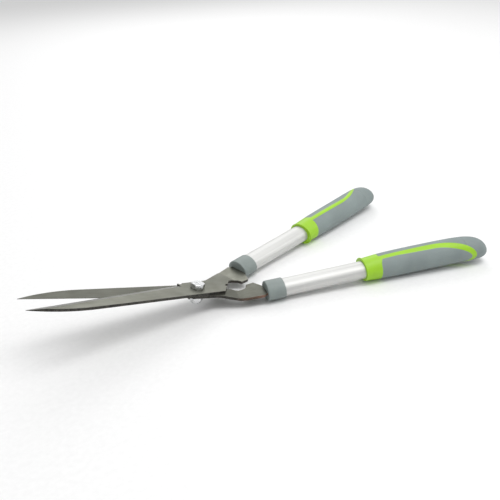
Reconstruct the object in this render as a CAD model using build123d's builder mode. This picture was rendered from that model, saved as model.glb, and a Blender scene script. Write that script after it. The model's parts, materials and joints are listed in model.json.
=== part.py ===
from build123d import *
import os
from math import cos, radians, sin, tan

os.makedirs("parts", exist_ok=True)

# Hedge shears, in millimetres. Each arm is drawn closed, in the pivot frame: Z is the pivot axis,
# the two plates meet at Z = 0, the tips are at -X and the upper arm's handle leaves on the +Y side.
# The lower arm is drawn on the same side and mirrored in the XZ plane when it is set in place.

# Blade plates
plate_thickness = 3.5
tip_x = -218.0
spine_y = -17.5
spine_curve_start_x = -143.0
spine_heel_x = 31.0
boss_y = 17.5
cutting_edge_slope = 0.0875
cutting_edge_end_x = -17.0
bevel_width = 9.0
edge_land = 0.6
branch_notch_radius = 2.4
wire_notch_radius = 3.4
wire_notch_at = (44.6, -2.5)

# Tang: the stretch of the plate between the pivot and the handle, ending in a tongue
tang_shoulder_x = 23.0
tang_elbow = (53.8, 34.6)
tang_side_radius = 16.0
tang_outer_reach = 12.6
tang_corner_distance = -5.0
throat_start = (53.8, 8.6)
throat_deepest = (62.8, 8.4)
stop_gap = 0.3
stop_front_x = 68.8
stop_rear_x = 78.6
tang_mouth_distance = -1.0
tang_mouth_inner = -14.0
tang_mouth_outer = 9.6
tongue_start = 4.0
tongue_half_width = 9.5
tongue_end = 46.0
bend_radius = 9.0
bend_distance = 57.7

# Handles: the handle frame starts at the middle of the ferrule's front face
ferrule_front = (81.2, 29.0, 7.8)
handle_splay = 11.68
handle_rise = 15.65
ferrule_half_width = 15.6
ferrule_half_height = 12.4
ferrule_length = 23.0
ferrule_front_wall = 5.0
ferrule_front_round = 1.4
ferrule_rear_round = 0.8
tube_half_width = 14.0
tube_half_height = 11.0
tube_wall = 1.5
tube_end = 262.0
insert_length = 48.0
pin_radius = 2.5
pin_distance = 13.0
pin_chamfer = 0.4
fit_gap = 0.05
end_gap = 0.5

# Grips: one moulding for both handles, its outer pad turned off the side by pad_turn
grip_front = 131.75
grip_end = 308.0
pad_front = 153.5
pad_end = 281.0
pad_end_length = 50.0
pad_thickness = 2.2
pad_half_height = 16.6
pad_turn = 16.0
pad_front_corner = 6.0
pad_root = 5.0
stripe_edge = -1.0
stripe_turns_at = 220.0
stripe_ends_at = (288.0, 21.2)
cap_seam = 274.0
# distance along the handle, half width, half height, outward bow and droop of the oval sections
grip_sections = [
    (grip_front, 17.0, 14.2, 0, 0),
    (138.0, 16.9, 14.8, 0, 0),
    (150.0, 17.0, 16.0, 0, 0),
    (175.0, 17.3, 17.1, 0.2, 0),
    (225.0, 17.9, 17.3, 1.0, 0),
    (268.0, 18.3, 16.8, 2.3, 0.2),
    (288.0, 17.7, 15.6, 3.1, 1.3),
    (299.0, 15.6, 13.2, 3.3, 2.9),
    (305.0, 12.2, 10.0, 3.2, 4.2),
    (grip_end, 7.4, 6.0, 3.0, 5.2),
]

# Pivot: an M10 hexagon bolt down through both plates, with a washer and a lock nut underneath
shank_radius = 5.0
pivot_hole_radius = shank_radius + fit_gap
hex_across_flats = 16.0
hex_turn = 43.0
hex_chamfer_rise = 1.1
hex_face_inset = 0.3
head_height = 6.4
bolt_end_z = -17.0
bolt_end_chamfer = 0.8
washer_radius = 10.0
washer_thickness = 2.0
washer_play = 0.25
washer_chamfer = 0.3
nut_top_z = -plate_thickness - washer_thickness
nut_hex_height = 6.6
nut_collar_height = 2.6
nut_collar_radius = 7.2
nut_collar_round = 0.9
lock_ring_radius = 6.4
lock_ring_height = 1.8
lock_ring_bottom_z = nut_top_z - nut_hex_height - nut_collar_height + 0.5

# How the tool lies: opened by half_opening on each side, resting on both ferrules and both grips
half_opening = 4.08
resting_tilt = 14.62

# Larger than any section of the tool, for cutting shapes
big = 60.0


def along_handle(distance, sideways):
    """Plan point at a distance up the handle and sideways from it (+ is the outer side)."""
    run = distance * cos(radians(handle_rise))
    splay = radians(handle_splay)
    return (
        ferrule_front[0] + run * cos(splay) - sideways * sin(splay),
        ferrule_front[1] + run * sin(splay) + sideways * cos(splay),
    )


handle_axis = (
    cos(radians(handle_rise)) * cos(radians(handle_splay)),
    cos(radians(handle_rise)) * sin(radians(handle_splay)),
    sin(radians(handle_rise)),
)
handle_normal = (
    -sin(radians(handle_rise)) * cos(radians(handle_splay)),
    -sin(radians(handle_rise)) * sin(radians(handle_splay)),
    cos(radians(handle_rise)),
)
handle_frame = Plane(origin=ferrule_front, x_dir=handle_axis, z_dir=handle_normal)


def across_handle(distance):
    """Plane across the handle at a distance: its X is the outer side, its Y the handle's upper side."""
    return Plane(origin=(distance, 0, 0), x_dir=(0, 1, 0), z_dir=(1, 0, 0))


def plate_outline():
    """Plan of one arm's plate: blade, boss, tang and the tongue that enters the handle."""
    cutting_edge_end_y = cutting_edge_slope * (cutting_edge_end_x - tip_x)
    notch_end_x = cutting_edge_end_x + 2 * branch_notch_radius
    with BuildSketch() as outline:
        with BuildLine():
            Line((tip_x, 0), (cutting_edge_end_x, cutting_edge_end_y))
            ThreePointArc(
                (cutting_edge_end_x, cutting_edge_end_y),
                (cutting_edge_end_x + branch_notch_radius, boss_y - branch_notch_radius),
                (notch_end_x, boss_y),
            )
            FilletPolyline(
                (notch_end_x, boss_y),
                (tang_shoulder_x, boss_y),
                tang_elbow,
                along_handle(tang_corner_distance, tang_outer_reach),
                radius=tang_side_radius,
            )
            Polyline(
                along_handle(tang_corner_distance, tang_outer_reach),
                along_handle(tang_mouth_distance, tang_mouth_outer),
                along_handle(tongue_start, tang_mouth_outer),
                along_handle(tongue_start, tongue_half_width),
                along_handle(tongue_end, tongue_half_width),
                along_handle(tongue_end, -tongue_half_width),
                along_handle(tongue_start, -tongue_half_width),
                along_handle(tongue_start, tang_mouth_inner),
                along_handle(tang_mouth_distance, tang_mouth_inner),
                (stop_rear_x, stop_gap / 2),
                (stop_front_x, stop_gap / 2),
            )
            ThreePointArc((stop_front_x, stop_gap / 2), throat_deepest, throat_start)
            Polyline(throat_start, (spine_heel_x, spine_y), (spine_curve_start_x, spine_y))
            TangentArc((spine_curve_start_x, spine_y), (tip_x, 0), tangent=(-1, 0))
        make_face()
        with Locations(wire_notch_at):
            Circle(wire_notch_radius, mode=Mode.SUBTRACT)
    return outline.sketch


def cranked_sheet(bottom_z, bend_at):
    """Sheet as thick as the plate, flat under the blade and rising along the handle beyond bend_at."""
    rise_run = 150.0
    side_view = Plane(
        origin=(0, 0, 0),
        x_dir=(cos(radians(handle_splay)), sin(radians(handle_splay)), 0),
        z_dir=(sin(radians(handle_splay)), -cos(radians(handle_splay)), 0),
    )
    with BuildPart() as sheet:
        with BuildSketch(side_view):
            with BuildLine():
                FilletPolyline(
                    (tip_x - big, bottom_z),
                    (bend_at, bottom_z),
                    (bend_at + rise_run, bottom_z + rise_run * tan(radians(handle_rise))),
                    radius=bend_radius,
                )
                offset(amount=plate_thickness, side=Side.LEFT)
            make_face()
        extrude(amount=2 * big, both=True)
    return sheet.part


def bevel_wedge(side):
    """Wedge that is ground off along the cutting edge, from the plate's face on that side."""
    rise = side * (plate_thickness - edge_land) / bevel_width
    land = side * edge_land
    margin = 3.0
    across_edge = Plane(
        origin=(tip_x, 0, 0),
        x_dir=(-cutting_edge_slope, 1, 0),
        z_dir=(1, cutting_edge_slope, 0),
    )
    with BuildPart() as wedge:
        with BuildSketch(across_edge):
            with BuildLine():
                Polyline(
                    (margin, land - margin * rise),
                    (-bevel_width - margin, land + (bevel_width + margin) * rise),
                    (margin, land + (bevel_width + margin) * rise),
                    close=True,
                )
            make_face()
        extrude(amount=cutting_edge_end_x - tip_x - 1.0)
    return wedge.part


def blade(side):
    """Blade, boss and tang of one arm in one bent plate; side is +1 for the upper arm, -1 below."""
    bottom_z = 0 if side > 0 else -plate_thickness
    # the tangs bend at different distances, so that the two handles lie level with each other
    bend_shift = side * plate_thickness / tan(radians(handle_rise)) / 2
    with BuildPart() as plate:
        with BuildSketch(Plane.XY.offset(-big)):
            add(plate_outline())
        extrude(amount=3 * big)
        add(cranked_sheet(bottom_z, bend_distance + bend_shift), mode=Mode.INTERSECT)
        add(bevel_wedge(side), mode=Mode.SUBTRACT)
        Cylinder(pivot_hole_radius, 4 * plate_thickness, mode=Mode.SUBTRACT)
        with Locations(handle_frame.location * Location((pin_distance, 0, 0))):
            Cylinder(pin_radius + fit_gap, big, mode=Mode.SUBTRACT)
    return plate.part


def oval(half_width, half_height, start, length):
    """Straight oval bar along the handle."""
    with BuildPart() as bar:
        with BuildSketch(across_handle(start)):
            Ellipse(half_width, half_height)
        extrude(amount=length)
    return bar.part


def ferrule():
    """Plastic collar over the tube's front end, with a slot for the tang in its front wall."""
    mouth_width = tang_mouth_outer - tang_mouth_inner + 2 * end_gap
    mouth_middle = (tang_mouth_outer + tang_mouth_inner) / 2
    with BuildPart() as collar:
        add(oval(ferrule_half_width, ferrule_half_height, 0, ferrule_length))
        fillet(collar.edges().group_by(Axis.X)[0], radius=ferrule_front_round)
        fillet(collar.edges().group_by(Axis.X)[-1], radius=ferrule_rear_round)
        add(
            oval(
                tube_half_width + fit_gap,
                tube_half_height + fit_gap,
                ferrule_front_wall,
                ferrule_length,
            ),
            mode=Mode.SUBTRACT,
        )
        with Locations((ferrule_front_wall / 2, mouth_middle, 0)):
            Box(ferrule_front_wall + 1, mouth_width, plate_thickness + end_gap, mode=Mode.SUBTRACT)
    return collar.part


def handle_tube():
    """Oval tube from the ferrule's front wall to deep inside the grip."""
    length = tube_end - ferrule_front_wall
    with BuildPart() as tube:
        add(oval(tube_half_width, tube_half_height, ferrule_front_wall, length))
        add(
            oval(tube_half_width - tube_wall, tube_half_height - tube_wall, ferrule_front_wall, length),
            mode=Mode.SUBTRACT,
        )
        with Locations((pin_distance, 0, 0)):
            Cylinder(pin_radius + fit_gap, big, mode=Mode.SUBTRACT)
    return tube.part


def tang_insert():
    """Plastic block that fills the tube's mouth and holds the tang."""
    clearance = tube_wall + fit_gap
    slot_length = tongue_end + end_gap
    slot_width = 2 * (tongue_half_width + fit_gap)
    with BuildPart() as insert:
        add(
            oval(
                tube_half_width - clearance,
                tube_half_height - clearance,
                ferrule_front_wall,
                insert_length,
            )
        )
        with Locations((slot_length / 2, 0, 0)):
            Box(slot_length, slot_width, plate_thickness + 2 * fit_gap, mode=Mode.SUBTRACT)
        with Locations((pin_distance, 0, 0)):
            Cylinder(pin_radius + fit_gap, big, mode=Mode.SUBTRACT)
    return insert.part


def tang_pin():
    """Cross pin through tube, insert and tang, hidden under the ferrule."""
    with BuildPart() as pin:
        with Locations((pin_distance, 0, 0)):
            Cylinder(pin_radius, 2 * (tube_half_height - end_gap))
        chamfer(pin.edges(), length=pin_chamfer)
    return pin.part


def grip_body(inset):
    """Outer form of the grip, or the same form drawn in by inset."""
    with BuildPart() as body:
        for distance, half_width, half_height, bow, droop in grip_sections:
            station = distance - inset if distance == grip_end else distance
            with BuildSketch(across_handle(station)):
                with Locations((bow, -droop)):
                    Ellipse(half_width - inset, half_height - inset)
        loft()
    return body.part


def pad_facing(turn):
    """Plane through the handle's axis that faces the middle of the outer pad."""
    return Plane(origin=(0, 0, 0), x_dir=(1, 0, 0), z_dir=(0, cos(radians(turn)), sin(radians(turn))))


def outer_pad_region(turn):
    """Prism through the outer side of the grip, bounded by the pad's outline."""
    end_arc_start = pad_end - pad_end_length
    with BuildPart() as region:
        with BuildSketch(pad_facing(turn).offset(pad_root)) as outline:
            with BuildLine():
                Polyline(
                    (end_arc_start, pad_half_height),
                    (pad_front, pad_half_height),
                    (pad_front, -pad_half_height),
                    (end_arc_start, -pad_half_height),
                )
                EllipticalCenterArc(
                    (end_arc_start, 0),
                    pad_end_length,
                    pad_half_height,
                    start_angle=-90,
                    arc_size=180,
                )
            make_face()
            fillet(outline.vertices().group_by(Axis.X)[0], radius=pad_front_corner)
        extrude(amount=big)
    return region.part


def palm_side(turn, start, end):
    """Everything beyond the green stripe's palm edge, between two distances along the handle."""
    across_pads = Plane(
        origin=(0, 0, 0),
        x_dir=(1, 0, 0),
        z_dir=(0, -sin(radians(turn)), cos(radians(turn))),
    )
    with BuildPart() as region:
        with BuildSketch(across_pads):
            with BuildLine():
                TangentArc((stripe_turns_at, stripe_edge), stripe_ends_at, tangent=(1, 0))
                Polyline(
                    stripe_ends_at,
                    (grip_end + end_gap, stripe_ends_at[1]),
                    (grip_end + end_gap, -big),
                    (0, -big),
                    (0, stripe_edge),
                    (stripe_turns_at, stripe_edge),
                )
            make_face()
            with Locations(((start + end) / 2, 0)):
                Rectangle(end - start, 2 * big, mode=Mode.INTERSECT)
        extrude(amount=big, both=True)
    return region.part


def grip_pieces(turn):
    """Green core, grey outer pad, grey palm pad and grey end cap of one grip."""
    body = grip_body(0)
    heart = grip_body(pad_thickness)
    bore_length = tube_end + end_gap - grip_front
    with BuildPart() as outer_pad:
        add(body)
        add(heart, mode=Mode.SUBTRACT)
        add(outer_pad_region(turn), mode=Mode.INTERSECT)
    with BuildPart() as palm_pad:
        add(body)
        add(heart, mode=Mode.SUBTRACT)
        add(palm_side(turn, pad_front, cap_seam), mode=Mode.INTERSECT)
    with BuildPart() as end_cap:
        add(body)
        add(palm_side(turn, cap_seam, grip_end + end_gap), mode=Mode.INTERSECT)
    with BuildPart() as core:
        add(body)
        add(outer_pad.part, mode=Mode.SUBTRACT)
        add(palm_pad.part, mode=Mode.SUBTRACT)
        add(end_cap.part, mode=Mode.SUBTRACT)
        add(
            oval(tube_half_width + fit_gap, tube_half_height + fit_gap, grip_front, bore_length),
            mode=Mode.SUBTRACT,
        )
    return {
        "grip_core": core.part,
        "grip_outer_pad": outer_pad.part,
        "grip_palm_pad": palm_pad.part,
        "grip_end_cap": end_cap.part,
    }


def hexagon_bar(bottom_z, height):
    """Hexagon with its corners turned off at both ends."""
    face_radius = hex_across_flats / 2 - hex_face_inset
    corner_radius = hex_across_flats / 2 / cos(radians(30))
    top_z = bottom_z + height
    with BuildPart() as bar:
        with BuildSketch(Plane.XY.offset(bottom_z)):
            RegularPolygon(corner_radius, 6, rotation=hex_turn)
        extrude(amount=height)
        with BuildSketch(Plane.XZ):
            with BuildLine():
                Polyline(
                    (0, bottom_z),
                    (face_radius, bottom_z),
                    (corner_radius, bottom_z + hex_chamfer_rise),
                    (corner_radius, top_z - hex_chamfer_rise),
                    (face_radius, top_z),
                    (0, top_z),
                    close=True,
                )
            make_face()
        revolve(axis=Axis.Z, mode=Mode.INTERSECT)
    return bar.part


def pivot_bolt():
    """Hexagon head on the upper plate and a plain shank down through the nut."""
    with BuildPart() as bolt:
        add(hexagon_bar(plate_thickness, head_height))
        with BuildSketch(Plane.XY.offset(bolt_end_z)):
            Circle(shank_radius)
        extrude(amount=plate_thickness - bolt_end_z + 1)
        chamfer(bolt.edges().group_by(Axis.Z)[0], length=bolt_end_chamfer)
    return bolt.part


def nut_washer():
    """Round washer between the lower plate and the nut."""
    with BuildPart() as washer:
        with BuildSketch(Plane.XY.offset(nut_top_z)):
            Circle(washer_radius)
            Circle(shank_radius + washer_play, mode=Mode.SUBTRACT)
        extrude(amount=washer_thickness)
        chamfer(washer.edges().group_by(Axis.Z)[0].sort_by(SortBy.LENGTH)[-1], length=washer_chamfer)
    return washer.part


def pivot_nut():
    """Lock nut: hexagon with a round collar below that holds the plastic ring."""
    hex_bottom = nut_top_z - nut_hex_height
    with BuildPart() as nut:
        add(hexagon_bar(hex_bottom, nut_hex_height))
        with BuildSketch(Plane.XY.offset(hex_bottom + hex_chamfer_rise)):
            Circle(nut_collar_radius)
        extrude(amount=-nut_collar_height - hex_chamfer_rise)
        fillet(nut.edges().group_by(Axis.Z)[0], radius=nut_collar_round)
        with Locations((0, 0, nut_top_z)):
            Cylinder(shank_radius + fit_gap, big, mode=Mode.SUBTRACT)
        with BuildSketch(Plane.XY.offset(lock_ring_bottom_z)):
            Circle(lock_ring_radius)
        extrude(amount=lock_ring_height, mode=Mode.SUBTRACT)
    return nut.part


def nut_lock_ring():
    """Plastic ring in the nut's collar that grips the bolt."""
    with BuildPart() as ring:
        with BuildSketch(Plane.XY.offset(lock_ring_bottom_z)):
            Circle(lock_ring_radius)
            Circle(shank_radius + fit_gap, mode=Mode.SUBTRACT)
        extrude(amount=lock_ring_height)
    return ring.part


def arm_pieces(side):
    """Every piece of one arm, drawn closed as the upper one; side is +1 above and -1 below."""
    pieces = {"blade": blade(side)}
    handle_pieces = {
        "ferrule": ferrule(),
        "handle_tube": handle_tube(),
        "tang_insert": tang_insert(),
        "tang_pin": tang_pin(),
    }
    handle_pieces.update(grip_pieces(side * pad_turn))
    for name, piece in handle_pieces.items():
        pieces[name] = handle_frame.location * piece
    return pieces


pieces = {
    "pivot_bolt": pivot_bolt(),
    "nut_washer": nut_washer(),
    "pivot_nut": pivot_nut(),
    "nut_lock_ring": nut_lock_ring(),
}
for name, piece in arm_pieces(1).items():
    pieces["upper_" + name] = Rot(0, 0, half_opening) * piece
for name, piece in arm_pieces(-1).items():
    pieces["lower_" + name] = Rot(0, 0, -half_opening) * mirror(piece, about=Plane.XZ)

# Laid down on the ferrules and the grips, with the origin under the middle of the whole tool
tilted = {name: Rot(0, resting_tilt, 0) * piece for name, piece in pieces.items()}
bounds = Compound(list(tilted.values())).bounding_box()
to_origin = Pos(-bounds.center().X, -bounds.center().Y, -bounds.min.Z)
for name, piece in tilted.items():
    placed = to_origin * piece
    placed.label = name
    export_step(placed, f"parts/{name}.step")
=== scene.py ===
import json
import math

import bmesh
import bpy
import numpy as np
from mathutils import Matrix, Vector


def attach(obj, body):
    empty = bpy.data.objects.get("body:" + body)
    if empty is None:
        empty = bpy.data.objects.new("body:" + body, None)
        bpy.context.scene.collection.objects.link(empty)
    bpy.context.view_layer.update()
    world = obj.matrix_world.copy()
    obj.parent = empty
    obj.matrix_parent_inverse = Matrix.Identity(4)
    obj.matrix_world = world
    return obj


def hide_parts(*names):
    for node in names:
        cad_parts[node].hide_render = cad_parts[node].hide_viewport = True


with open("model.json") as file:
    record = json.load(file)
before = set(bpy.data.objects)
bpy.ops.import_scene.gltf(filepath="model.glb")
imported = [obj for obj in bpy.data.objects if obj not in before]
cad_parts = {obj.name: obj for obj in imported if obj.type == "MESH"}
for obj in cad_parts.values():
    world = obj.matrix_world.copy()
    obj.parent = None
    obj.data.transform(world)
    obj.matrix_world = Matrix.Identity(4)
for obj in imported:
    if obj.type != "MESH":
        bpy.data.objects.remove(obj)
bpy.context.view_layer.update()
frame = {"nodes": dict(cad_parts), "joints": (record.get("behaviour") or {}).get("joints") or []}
nodes = frame["nodes"]
pivot = frame["joints"][0]
pivot_at = Vector(pivot["pos_m"])
pivot_axis = Vector(pivot["axis"]).normalized()

ARMS = ("upper", "lower")
MM = 0.001

# Base colours, linear
GREEN = (0.325, 0.610, 0.012)
GREY = (0.228, 0.272, 0.268)
FERRULE = (0.228, 0.266, 0.255)
NYLON = (0.70, 0.69, 0.62)
INSERT_BLACK = (0.03, 0.03, 0.03)
# Blade steel (light, dark): the lower blade's is the darker, partly a darker finish and partly
# painted shade
STEEL = {
    "upper": ((0.218, 0.221, 0.186), (0.134, 0.137, 0.112)),
    "lower": ((0.116, 0.119, 0.096), (0.067, 0.069, 0.054)),
}
# How much copper tarnish the sheared edges of each tang carry; with little of it, the upper tang's
# edges keep their nearly black painted shade
TARNISH = {"upper": 0.12, "lower": 1.0}

# A blade face's lean from the plate's own normals tells which steel it gets
SIDE_LEAN = 0.35  # cosine below which a face is a sheared side
BEVEL_TILT = (0.9, 0.985)  # cosines between which it is the ground bevel
BEVEL_END_X = -15 * MM  # the ground bevel lies ahead of this, in the blade's frame

WELD_DISTANCE = 0.002 * MM
FLAT_ANGLE = math.radians(0.4)  # triangles this close to one plane become one face
SMOOTH_MARGIN = 10  # degrees past the rounding angle at which shading turns sharp


# ---------------------------------------------------------------- frames of the arms
def node_points(name):
    mesh = nodes[name].data
    points = np.empty(len(mesh.vertices) * 3, np.float32)
    mesh.vertices.foreach_get("co", points)
    return points.reshape(-1, 3).astype(float)


def long_direction(points):
    """Direction of the longest spread of some points, from the tips towards the grips."""
    centred = points - points.mean(0)
    direction = Vector(np.linalg.svd(centred, full_matrices=False)[2][0])
    return direction if direction.x > 0 else -direction


def frame_matrix(origin, along, up):
    """Matrix whose X runs along, whose Z is the part of up across it, and whose origin is given."""
    x = along.normalized()
    y = up.cross(x).normalized()
    z = x.cross(y)
    matrix = Matrix((x, y, z)).transposed().to_4x4()
    matrix.translation = origin
    return matrix


def handle_frame(arm):
    tube = node_points(arm + "_handle_tube")
    return frame_matrix(Vector(tube.mean(0)), long_direction(tube), pivot_axis)


def blade_frame(arm):
    """Frame at the pivot with X along the blade, away from the tip, and Z along the pivot."""
    points = node_points(arm + "_blade")
    tip = Vector(points[np.argmin(points[:, 0])])
    return frame_matrix(pivot_at, pivot_at - tip, pivot_axis)


def local_points(name, matrix):
    """A CAD node's points in a frame of its own."""
    points = node_points(name)
    inverse = np.array(matrix.inverted())
    return points @ inverse[:3, :3].T + inverse[:3, 3]


handle_frames = {arm: handle_frame(arm) for arm in ARMS}
blade_frames = {arm: blade_frame(arm) for arm in ARMS}


# ---------------------------------------------------------------- material building blocks
class Nodes:
    """A material's node tree, with short calls for the nodes used below."""

    def __init__(self, name, matrix=None):
        self.material = bpy.data.materials.new(name)
        self.material.use_nodes = True
        self.tree = self.material.node_tree
        self.shader = self.tree.nodes["Principled BSDF"]
        self.place = self.new("ShaderNodeTexCoord").outputs["Object"]
        if matrix is not None:
            self.place = self.into(self.place, matrix)

    def new(self, kind, **settings):
        node = self.tree.nodes.new(kind)
        for key, value in settings.items():
            setattr(node, key, value)
        return node

    def put(self, value, socket):
        """Links a socket to another, or sets its value."""
        if isinstance(value, bpy.types.NodeSocket):
            self.tree.links.new(value, socket)
        else:
            socket.default_value = value

    def into(self, place, matrix):
        """Coordinates in the frame of a rigid matrix: its inverse as a turn and a shift."""
        inverse = matrix.inverted()
        mapping = self.new("ShaderNodeMapping", vector_type="POINT")
        mapping.inputs["Rotation"].default_value = inverse.to_euler()
        mapping.inputs["Location"].default_value = inverse.translation
        self.put(place, mapping.inputs["Vector"])
        return mapping.outputs["Vector"]

    def stretched(self, scale):
        """Coordinates scaled by axis; a small scale draws a pattern out along that axis."""
        mapping = self.new("ShaderNodeMapping", vector_type="POINT")
        mapping.inputs["Scale"].default_value = scale
        self.put(self.place, mapping.inputs["Vector"])
        return mapping.outputs["Vector"]

    def noise(self, scale, detail=3.0, rough=0.5, stretch=(1, 1, 1)):
        node = self.new("ShaderNodeTexNoise")
        self.put(self.stretched(stretch), node.inputs["Vector"])
        node.inputs["Scale"].default_value = scale
        node.inputs["Detail"].default_value = detail
        node.inputs["Roughness"].default_value = rough
        return node.outputs["Fac"]

    def cells(self, scale):
        node = self.new("ShaderNodeTexVoronoi", feature="F1")
        self.put(self.place, node.inputs["Vector"])
        node.inputs["Scale"].default_value = scale
        return node.outputs["Distance"]

    def ramp(self, value, stops):
        """Grey ramp between two stops, each (position, grey)."""
        node = self.new("ShaderNodeValToRGB")
        elements = node.color_ramp.elements
        for element, (position, grey) in zip(elements, stops):
            element.position = position
            element.color = (grey, grey, grey, 1)
        self.put(value, node.inputs["Fac"])
        return node.outputs["Color"]

    def mapped(self, value, low, high, to_low, to_high):
        node = self.new("ShaderNodeMapRange", clamp=True)
        sockets = ("From Min", "From Max", "To Min", "To Max")
        for socket, number in zip(sockets, (low, high, to_low, to_high)):
            node.inputs[socket].default_value = number
        self.put(value, node.inputs["Value"])
        return node.outputs["Result"]

    def math(self, operation, a, b=0.0):
        node = self.new("ShaderNodeMath", operation=operation)
        self.put(a, node.inputs[0])
        self.put(b, node.inputs[1])
        return node.outputs[0]

    def mix(self, amount, a, b):
        node = self.new("ShaderNodeMix", data_type="RGBA", blend_type="MIX")
        self.put(amount, node.inputs["Factor"])
        self.put(a if isinstance(a, bpy.types.NodeSocket) else (*a, 1), node.inputs["A"])
        self.put(b if isinstance(b, bpy.types.NodeSocket) else (*b, 1), node.inputs["B"])
        return node.outputs["Result"]

    def axis(self, letter):
        node = self.new("ShaderNodeSeparateXYZ")
        self.put(self.place, node.inputs["Vector"])
        return node.outputs[letter]

    def worn_edge(self, width, low=0.02, high=0.25):
        """1 on edges and 0 on flats, from how far a rounded normal leans from the true one."""
        rounded = self.new("ShaderNodeBevel", samples=4)
        rounded.inputs["Radius"].default_value = width
        true = self.new("ShaderNodeNewGeometry")
        dot = self.new("ShaderNodeVectorMath", operation="DOT_PRODUCT")
        self.put(rounded.outputs["Normal"], dot.inputs[0])
        self.put(true.outputs["Normal"], dot.inputs[1])
        return self.mapped(self.math("SUBTRACT", 1.0, dot.outputs["Value"]), low, high, 0.0, 1.0)

    def bump(self, layers):
        """Stacks height layers, each (height, distance in metres, strength)."""
        normal = None
        for height, distance, strength in layers:
            node = self.new("ShaderNodeBump")
            node.inputs["Strength"].default_value = strength
            node.inputs["Distance"].default_value = distance
            self.put(height, node.inputs["Height"])
            if normal is not None:
                self.put(normal, node.inputs["Normal"])
            normal = node.outputs["Normal"]
        self.put(normal, self.shader.inputs["Normal"])

    def finish(self, colour, roughness, metallic=0.0):
        self.put(colour, self.shader.inputs["Base Color"])
        self.put(roughness, self.shader.inputs["Roughness"])
        self.shader.inputs["Metallic"].default_value = metallic
        return self.material


# ---------------------------------------------------------------- materials
def blade_steel(name, matrix, light, dark):
    """Ground steel with grain along the blade, soft stains and brighter worn edges."""
    n = Nodes(name, matrix)
    grain = n.noise(420, 5, 0.65, stretch=(0.05, 1.0, 1.0))
    scratches = n.noise(900, 2, 0.8, stretch=(0.02, 0.8, 0.8))
    clouds = n.noise(22, 4, 0.6)
    stains = n.ramp(n.noise(60, 6, 0.7), [(0.42, 0.0), (0.72, 1.0)])
    tone = n.mix(n.mapped(clouds, 0.3, 0.7, 0.0, 1.0), dark, light)
    tone = n.mix(n.mapped(grain, 0.35, 0.75, 0.0, 0.35), tone, light)
    tone = n.mix(n.math("MULTIPLY", stains, 0.16), tone, (0.16, 0.14, 0.11))
    wear = n.math("MULTIPLY", n.worn_edge(0.5 * MM), n.mapped(clouds, 0.3, 0.6, 0.3, 0.9))
    tone = n.mix(wear, tone, (0.42, 0.41, 0.38))
    rough = n.math("ADD", n.mapped(grain, 0.3, 0.7, 0.34, 0.52), n.math("MULTIPLY", stains, 0.08))
    n.bump([(grain, 0.05 * MM, 0.5), (scratches, 0.03 * MM, 0.35), (clouds, 0.1 * MM, 0.2)])
    return n.finish(tone, rough, 0.85)


def bevel_steel(name, matrix):
    """Freshly ground cutting edge, scored across the edge."""
    n = Nodes(name, matrix)
    grain = n.noise(520, 4, 0.7, stretch=(1.0, 0.08, 1.0))
    clouds = n.noise(30, 3, 0.5)
    tone = n.mix(n.mapped(grain, 0.3, 0.75, 0.0, 1.0), (0.24, 0.24, 0.22), (0.44, 0.44, 0.41))
    tone = n.mix(n.mapped(clouds, 0.35, 0.7, 0.0, 0.3), tone, (0.30, 0.29, 0.27))
    n.bump([(grain, 0.05 * MM, 0.6)])
    return n.finish(tone, n.mapped(grain, 0.3, 0.7, 0.26, 0.42), 0.95)


def side_steel_painted_shade(name, matrix, tarnish):
    """Sheared edge faces of the plate: painted shade makes them nearly black, with coppery tarnish
    on the tang.
    """
    n = Nodes(name, matrix)
    break_lines = n.noise(260, 4, 0.6, stretch=(1.0, 1.0, 0.15))
    clouds = n.noise(35, 5, 0.65)
    streaks = n.mapped(break_lines, 0.3, 0.7, 0.0, 1.0)
    # painted shade: the sheared edges are streaked nearly black
    dark = n.mix(streaks, (0.018, 0.018, 0.016), (0.085, 0.08, 0.07))
    blotches = n.mapped(clouds, 0.35, 0.65, 0.0, 1.0)
    copper = n.mix(blotches, (0.075, 0.047, 0.031), (0.27, 0.16, 0.115))
    on_tang = n.mapped(n.axis("X"), 40 * MM, 62 * MM, 0.0, 1.0)
    amount = n.mapped(clouds, 0.34, 0.5, 0.15 * tarnish, 0.85 * tarnish)
    tone = n.mix(n.math("MULTIPLY", on_tang, amount), dark, copper)
    tone = n.mix(n.math("MULTIPLY", n.worn_edge(0.4 * MM), 0.35), tone, (0.45, 0.43, 0.40))
    n.bump([(break_lines, 0.15 * MM, 0.6), (clouds, 0.1 * MM, 0.3)])
    return n.finish(tone, n.mapped(clouds, 0.3, 0.7, 0.42, 0.62), 0.6)


def zinc(name):
    """Bright zinc plating, faintly mottled, brighter on the worn edges."""
    n = Nodes(name)
    clouds = n.noise(140, 4, 0.6)
    fine = n.noise(1500, 3, 0.6)
    tone = n.mix(n.mapped(clouds, 0.3, 0.7, 0.0, 1.0), (0.60, 0.61, 0.62), (0.78, 0.78, 0.78))
    tone = n.mix(n.math("MULTIPLY", n.worn_edge(0.35 * MM), 0.8), tone, (0.92, 0.92, 0.91))
    n.bump([(fine, 0.006 * MM, 0.2), (clouds, 0.02 * MM, 0.05)])
    return n.finish(tone, n.mapped(clouds, 0.3, 0.7, 0.22, 0.34), 1.0)


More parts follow.
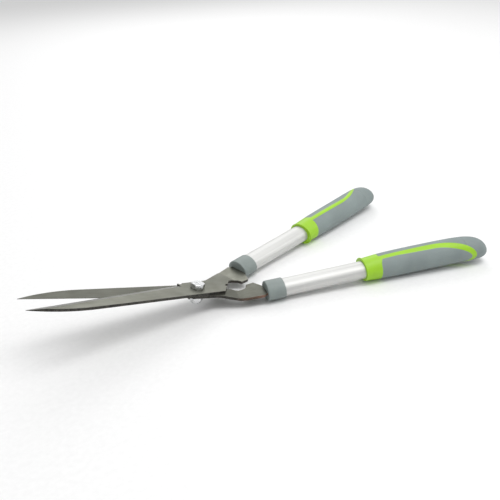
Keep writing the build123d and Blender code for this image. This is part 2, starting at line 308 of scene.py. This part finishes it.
def aluminium(name, matrix):
    """Satin anodised tube with drawing lines along it and fine handling scuffs."""
    n = Nodes(name, matrix)
    lines = n.noise(700, 4, 0.6, stretch=(0.012, 1.0, 1.0))
    clouds = n.noise(26, 3, 0.5, stretch=(0.4, 1, 1))
    scuff_noise = n.noise(240, 2, 0.9, stretch=(1.0, 0.12, 0.12))
    scuffs = n.ramp(scuff_noise, [(0.62, 0.0), (0.74, 1.0)])
    tone = n.mix(n.mapped(lines, 0.3, 0.7, 0.0, 1.0), (0.59, 0.59, 0.575), (0.70, 0.70, 0.685))
    tone = n.mix(n.mapped(clouds, 0.35, 0.7, 0.0, 0.3), tone, (0.54, 0.54, 0.525))
    tone = n.mix(n.math("MULTIPLY", scuffs, 0.25), tone, (0.84, 0.84, 0.82))
    n.bump([(lines, 0.04 * MM, 0.5), (scuffs, 0.02 * MM, 0.3)])
    return n.finish(tone, n.mapped(lines, 0.3, 0.7, 0.44, 0.58), 0.5)


def plastic(name, base, grain_size, grain_depth, rough, spread=0.12, matrix=None):
    """Moulded plastic: fine spark-eroded grain, slight clouding, paler rubbed edges."""
    n = Nodes(name, matrix)
    grain = n.cells(1.0 / grain_size)
    fine = n.noise(1.3 / grain_size, 3, 0.6)
    clouds = n.noise(28, 4, 0.55)
    dust = n.ramp(n.noise(500, 3, 0.75), [(0.6, 0.0), (0.8, 1.0)])
    dark = tuple(c * (1 - spread) for c in base)
    pale = tuple(min(1.0, c * (1 + spread) + 0.008) for c in base)
    tone = n.mix(n.mapped(clouds, 0.3, 0.7, 0.0, 1.0), dark, pale)
    tone = n.mix(n.mapped(grain, 0.1, 0.8, 0.18, 0.0), tone, tuple(c * 0.72 for c in base))
    tone = n.mix(n.math("MULTIPLY", dust, 0.10), tone, (0.62, 0.62, 0.58))
    rubbed = n.math("MULTIPLY", n.worn_edge(0.5 * MM), n.mapped(clouds, 0.3, 0.65, 0.15, 0.5))
    tone = n.mix(rubbed, tone, tuple(min(1.0, c * 1.3 + 0.05) for c in base))
    cloudy = n.mapped(clouds, 0.3, 0.7, rough - 0.05, rough + 0.05)
    roughness = n.math("ADD", cloudy, n.math("MULTIPLY", fine, 0.06))
    n.bump([(grain, grain_depth, 0.55), (fine, grain_depth, 0.4)])
    return n.finish(tone, roughness)


# ---------------------------------------------------------------- pieces
def welded_copy(node_name, piece_name):
    """Mesh of a CAD node as one welded surface with its flat faces whole again."""
    mesh = nodes[node_name].data.copy()
    mesh.name = piece_name
    mesh.materials.clear()
    work = bmesh.new()
    work.from_mesh(mesh)
    bmesh.ops.remove_doubles(work, verts=work.verts, dist=WELD_DISTANCE)
    bmesh.ops.dissolve_limit(work, angle_limit=FLAT_ANGLE, verts=work.verts, edges=work.edges)
    work.to_mesh(mesh)
    work.free()
    piece = bpy.data.objects.new(piece_name, mesh)
    bpy.context.scene.collection.objects.link(piece)
    return piece


def rounded_piece(node_name, piece_name, radius, sharp_angle, segments=2):
    """A CAD node's shape with its edges sharper than sharp_angle (degrees) really rounded."""
    piece = welded_copy(node_name, piece_name)
    bevel = piece.modifiers.new("rounded_edges", "BEVEL")
    bevel.width = radius
    bevel.segments = segments
    bevel.limit_method = "ANGLE"
    bevel.angle_limit = math.radians(sharp_angle)
    bevel.use_clamp_overlap = True
    bpy.context.view_layer.update()
    graph = bpy.context.evaluated_depsgraph_get()
    mesh = bpy.data.meshes.new_from_object(piece.evaluated_get(graph))
    old = piece.data
    piece.modifiers.clear()
    piece.data = mesh
    bpy.data.meshes.remove(old)
    mesh.name = piece_name
    mesh.shade_smooth()
    mesh.set_sharp_from_angle(angle=math.radians(sharp_angle + SMOOTH_MARGIN))
    return piece


def stand_in(piece, node_name, body):
    """Puts a piece in a CAD node's place, on that node's body."""
    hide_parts(node_name)
    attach(piece, body)


def new_piece(name, vertices, faces, material):
    mesh = bpy.data.meshes.new(name)
    mesh.from_pydata([tuple(v) for v in vertices], [], faces)
    mesh.materials.append(material)
    mesh.shade_smooth()
    piece = bpy.data.objects.new(name, mesh)
    bpy.context.scene.collection.objects.link(piece)
    return piece


def grip_lip(arm, material):
    """Rolled lip round the front of the green ring, where the grip starts on the tube."""
    handle = handle_frames[arm]
    local = local_points(arm + "_grip_core", handle)
    front = local[:, 0].min()
    rim = local[local[:, 0] < front + 0.5 * MM]
    half_width, half_height = np.abs(rim[:, 1]).max(), np.abs(rim[:, 2]).max()
    turns, bead_steps, bead = 96, 10, 1.1 * MM
    sunk, setback = 0.45, 0.9  # how deep and how far back the bead's centre is, in bead radii
    vertices, faces = [], []
    for i in range(turns):
        around = 2 * math.pi * i / turns
        for j in range(bead_steps):
            roll = 2 * math.pi * j / bead_steps
            out = bead * (math.cos(roll) - sunk)
            point = Vector(
                (
                    front + bead * (setback + math.sin(roll)),
                    (half_width + out) * math.cos(around),
                    (half_height + out) * math.sin(around),
                )
            )
            vertices.append(handle @ point)
            a, b = i * bead_steps, (i + 1) % turns * bead_steps
            k = (j + 1) % bead_steps
            faces.append((a + j, b + j, b + k, a + k))
    return new_piece(arm + "_grip_lip", vertices, faces, material)


def bolt_thread(material):
    """Helical ridge on the end of the bolt that stands out below the nut."""
    pivot_frame = frame_matrix(pivot_at, Vector((1, 0, 0)), pivot_axis)
    bolt = local_points("pivot_bolt", pivot_frame)
    nut = local_points("pivot_nut", pivot_frame)
    bottom, top = bolt[:, 2].min(), nut[:, 2].min()
    low_points = bolt[bolt[:, 2] < top - 0.2 * MM]
    radius = np.hypot(low_points[:, 0], low_points[:, 1]).max()
    pitch, steps, ridge = 1.5 * MM, 40, 0.28 * MM
    run_out = 6  # steps over which the ridge rises at either end
    foot = 0.3  # half the width of the ridge's foot, in pitches
    start, end = bottom + 1.4 * MM, top + 0.4 * MM  # clear of the chamfer, up into the nut
    count = int(steps * (end - start) / pitch)
    vertices, faces = [], []
    for i in range(count + 1):
        around = 2 * math.pi * i / steps
        height = start + pitch * i / steps
        fade = min(1.0, i / run_out, (count - i) / run_out)
        profile = ((-foot, -0.05), (0.0, fade), (foot, -0.05))
        for rise, out in profile:
            r = radius + ridge * out
            point = Vector((r * math.cos(around), r * math.sin(around), height + rise * pitch))
            vertices.append(pivot_frame @ point)
        if i < count:
            a = 3 * i
            for j, k in ((0, 1), (1, 2), (2, 0)):
                faces.append((a + j, a + k, a + k + 3, a + j + 3))
    last = 3 * count
    faces += [(2, 1, 0), (last, last + 1, last + 2)]
    return new_piece("bolt_thread", vertices, faces, material)


def dress(node_name, material):
    """Gives a carried-over CAD node its material."""
    mesh = nodes[node_name].data
    mesh.materials.clear()
    mesh.materials.append(material)


zinc_plate = zinc("bright_zinc")
nylon = plastic("natural_nylon", NYLON, 0.4 * MM, 0.02 * MM, 0.42)
insert_black = plastic("insert_black", INSERT_BLACK, 0.6 * MM, 0.05 * MM, 0.6)
pin_steel = zinc("pin_steel")

for arm in ARMS:
    body = arm + "_arm"
    handle = handle_frames[arm]
    blade_axes = blade_frames[arm]

    # blade: flat faces, ground bevel and sheared sides each get their own steel
    steel = blade_steel(arm + "_blade_steel", blade_axes, *STEEL[arm])
    ground = bevel_steel(arm + "_ground_bevel", blade_axes)
    sheared = side_steel_painted_shade(arm + "_painted_shade_sheared_side", blade_axes, TARNISH[arm])
    blade = rounded_piece(arm + "_blade", arm + "_blade_plate", 0.22 * MM, sharp_angle=9.0)
    for material in (steel, ground, sheared):
        blade.data.materials.append(material)
    flat_normals = (pivot_axis, handle.col[2].xyz)
    to_blade = blade_axes.inverted()
    for face in blade.data.polygons:
        lean = max(abs(face.normal.dot(normal)) for normal in flat_normals)
        tilt = abs(face.normal.dot(pivot_axis))
        if lean < SIDE_LEAN:
            face.material_index = 2
        elif BEVEL_TILT[0] < tilt < BEVEL_TILT[1] and (to_blade @ face.center).x < BEVEL_END_X:
            face.material_index = 1
    stand_in(blade, arm + "_blade", body)

    dress(arm + "_handle_tube", aluminium(arm + "_tube_aluminium", handle))
    dress(arm + "_tang_insert", insert_black)
    dress(arm + "_tang_pin", pin_steel)

    name = arm + "_ferrule_grey"
    ferrule_grey = plastic(name, FERRULE, 0.55 * MM, 0.05 * MM, 0.5, matrix=handle)
    name = arm + "_ferrule_collar"
    ferrule = rounded_piece(arm + "_ferrule", name, 0.3 * MM, sharp_angle=35.0)
    ferrule.data.materials.append(ferrule_grey)
    stand_in(ferrule, arm + "_ferrule", body)

    name = arm + "_grip_green"
    green = plastic(name, GREEN, 0.5 * MM, 0.035 * MM, 0.42, spread=0.07, matrix=handle)
    name = arm + "_grip_rubber"
    grey = plastic(name, GREY, 0.7 * MM, 0.07 * MM, 0.62, spread=0.1, matrix=handle)
    for part, material, slot_name in (
        ("grip_core", green, "grip_green"),
        ("grip_outer_pad", grey, "grip_grey"),
        ("grip_palm_pad", grey, "grip_grey"),
        ("grip_end_cap", grey, "grip_grey"),
    ):
        node_name = arm + "_" + part
        piece = rounded_piece(node_name, node_name + "_skin", 0.45 * MM, 30.0, segments=3)
        piece.data.materials.append(material)
        stand_in(piece, node_name, body)
    lip = grip_lip(arm, green)
    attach(lip, body)

thread = bolt_thread(zinc_plate)
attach(thread, "lower_arm")
for name, material in (
    ("pivot_bolt", zinc_plate),
    ("nut_washer", zinc_plate),
    ("pivot_nut", zinc_plate),
    ("nut_lock_ring", nylon),
):
    dress(name, material)


# ---------------------------------------------------------------- stage, light and camera
def floor_material():
    n = Nodes("pale_floor")
    speck = n.noise(160, 3, 0.6)
    tone = n.mix(n.mapped(speck, 0.3, 0.7, 0.0, 1.0), (0.86, 0.86, 0.86), (0.90, 0.90, 0.90))
    n.bump([(speck, 0.02 * MM, 0.2)])
    return n.finish(tone, 0.7)


floor_half = 6.0
floor_mesh = bpy.data.meshes.new("floor")
floor_mesh.from_pydata(
    [(x * floor_half, y * floor_half, 0) for x, y in ((-1, -1), (1, -1), (1, 1), (-1, 1))],
    [],
    [(0, 1, 2, 3)],
)
floor_mesh.materials.append(floor_material())
floor = bpy.data.objects.new("floor", floor_mesh)
bpy.context.scene.collection.objects.link(floor)


def soft_light(name, at, size, power):
    """Square area light of a size in metres and a power in watts that faces the tool."""
    data = bpy.data.lights.new(name, "AREA")
    data.shape = "SQUARE"
    data.size = size
    data.energy = power
    light = bpy.data.objects.new(name, data)
    light.location = at
    towards_tool = Vector((0.0, 0.0, 0.03)) - light.location
    light.rotation_euler = towards_tool.to_track_quat("-Z", "Y").to_euler()
    bpy.context.scene.collection.objects.link(light)


soft_light("key_light", (0.5, -0.5, 2.1), size=1.2, power=20)
soft_light("back_light", (0.9, 1.7, 1.3), size=1.4, power=12)
soft_light("side_light", (1.9, -0.9, 1.0), size=1.0, power=8)

# white studio walls that darken towards the floor, so that the metal has something to mirror
world = bpy.data.worlds.new("white_studio")
bpy.context.scene.world = world
world.use_nodes = True
sky = world.node_tree
heading = sky.nodes.new("ShaderNodeTexCoord").outputs["Generated"]
split = sky.nodes.new("ShaderNodeSeparateXYZ")
walls = sky.nodes.new("ShaderNodeValToRGB")
sky.links.new(heading, split.inputs["Vector"])
sky.links.new(split.outputs["Z"], walls.inputs["Fac"])
walls.color_ramp.elements[0].position = 0.0
walls.color_ramp.elements[0].color = (0.16, 0.17, 0.17, 1)
walls.color_ramp.elements[1].position = 0.5
walls.color_ramp.elements[1].color = (1, 1, 1, 1)
sky.links.new(walls.outputs["Color"], sky.nodes["Background"].inputs["Color"])
sky.nodes["Background"].inputs["Strength"].default_value = 0.72
bpy.context.scene.view_settings.view_transform = "Standard"

camera_data = bpy.data.cameras.new("camera")
camera_data.lens = 54.0  # mm; place, aim and roll come from the perspective fit to the photo
camera_data.sensor_width = 36.0
camera_data.clip_start = 0.05
camera_data.clip_end = 30.0
camera = bpy.data.objects.new("camera", camera_data)
bpy.context.scene.collection.objects.link(camera)
camera.location = pivot_at + Vector((-0.3544, -0.7307, 0.4569))
look = Vector((0.4565, 0.7688, -0.4478))
roll = Matrix.Rotation(math.radians(-3.16), 4, "Z")
turn = look.to_track_quat("-Z", "Y").to_matrix().to_4x4() @ roll
camera.rotation_euler = turn.to_euler()
bpy.context.scene.camera = camera
